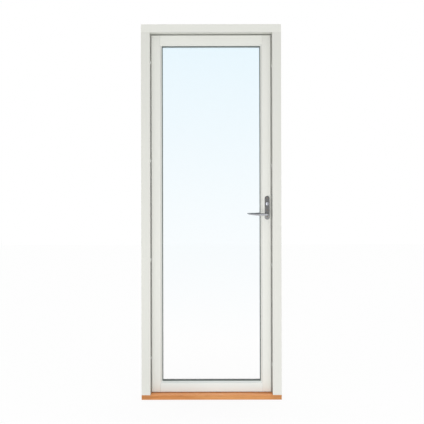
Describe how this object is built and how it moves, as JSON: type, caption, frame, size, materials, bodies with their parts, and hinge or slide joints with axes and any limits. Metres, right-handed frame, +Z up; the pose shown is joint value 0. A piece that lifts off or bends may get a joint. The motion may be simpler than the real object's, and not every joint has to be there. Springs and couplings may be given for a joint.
{
  "type": "glass door",
  "caption": "Outward-opening painted timber terrace door with a tall sealed glass panel, lever and thumb-turn, in a rebated frame on an oak threshold.",
  "frame": {"origin": "on the threshold's underside, at the middle of the frame's width and depth", "axes": "+X to the right seen from inside, +Y to the outside, +Z up; the inside face faces -Y"},
  "size_m": [0.78, 0.1655, 2.09],
  "materials": {
    "frame_paint": "satin paint on timber",
    "leaf_paint": "satin paint on timber",
    "oak": "clear satin varnish",
    "strip_metal": "satin anodised",
    "seal_rubber": "matt black",
    "glazing_rubber": "matt grey",
    "spacer_plastic": "matt grey",
    "cap_plastic": "satin off-white",
    "sleeve_steel": "zinc plated",
    "lock_steel": "brushed stainless",
    "hinge_steel": "satin zinc",
    "handle_steel": "satin nickel",
    "screw_steel": "bronzed",
    "glass": "clear, faint blue-green"
  },
  "bodies": {
    "frame": {"head": "frame_paint", "jamb_left": "frame_paint", "jamb_right": "frame_paint", "threshold": "oak", "threshold_strip": "strip_metal", "seal_head": "seal_rubber", "seal_left": "seal_rubber", "seal_right": "seal_rubber", "seal_bottom": "seal_rubber", "fixing_sleeves_left": "sleeve_steel", "fixing_sleeves_right": "sleeve_steel", "fixing_caps_left": "cap_plastic", "fixing_caps_right": "cap_plastic", "strike_plate_main": "lock_steel", "strike_plates_end": "lock_steel", "hinge_frame_lower": "hinge_steel", "hinge_frame_middle": "hinge_steel", "hinge_frame_upper": "hinge_steel"},
    "leaf": {"hinge_stile": "leaf_paint", "lock_stile": "leaf_paint", "top_rail": "leaf_paint", "bottom_rail": "leaf_paint", "glass_inner": "glass", "glass_outer": "glass", "glass_spacer": "spacer_plastic", "glazing_seal_inside": "glazing_rubber", "glazing_seal_outside": "glazing_rubber", "bead_left": "leaf_paint", "bead_right": "leaf_paint", "bead_top": "leaf_paint", "bead_bottom": "leaf_paint", "drip_rail": "leaf_paint", "lock_faceplate": "lock_steel", "lock_bolts": "lock_steel", "hinge_leaf_lower": "hinge_steel", "hinge_leaf_middle": "hinge_steel", "hinge_leaf_upper": "hinge_steel", "handle_plate_inside": "handle_steel", "handle_plate_outside": "handle_steel", "plate_screws": "screw_steel", "key_cylinder": "handle_steel"},
    "lever_set": {"lever_inside": "handle_steel", "lever_outside": "handle_steel", "spindle": "lock_steel"},
    "thumb_turn": {"thumb_turn": "handle_steel"}
  },
  "joints": [
    {"name": "leaf_swing", "type": "hinge", "parent": "frame", "child": "leaf", "pos_m": [-0.3545, 0.071, 0], "axis": [0, 0, 1], "range_deg": [0, 110]},
    {"name": "lever_press", "type": "hinge", "parent": "leaf", "child": "lever_set", "pos_m": [0.3147, 0, 1.0306], "axis": [0, -1, 0], "range_deg": [0, 45], "stiffness_Nm_per_rad": 1.5, "springref_deg": -20.05},
    {"name": "thumb_turn_turn", "type": "hinge", "parent": "leaf", "child": "thumb_turn", "pos_m": [0.3147, 0, 1.0895], "axis": [0, -1, 0], "range_deg": [0, 90]}
  ]
}
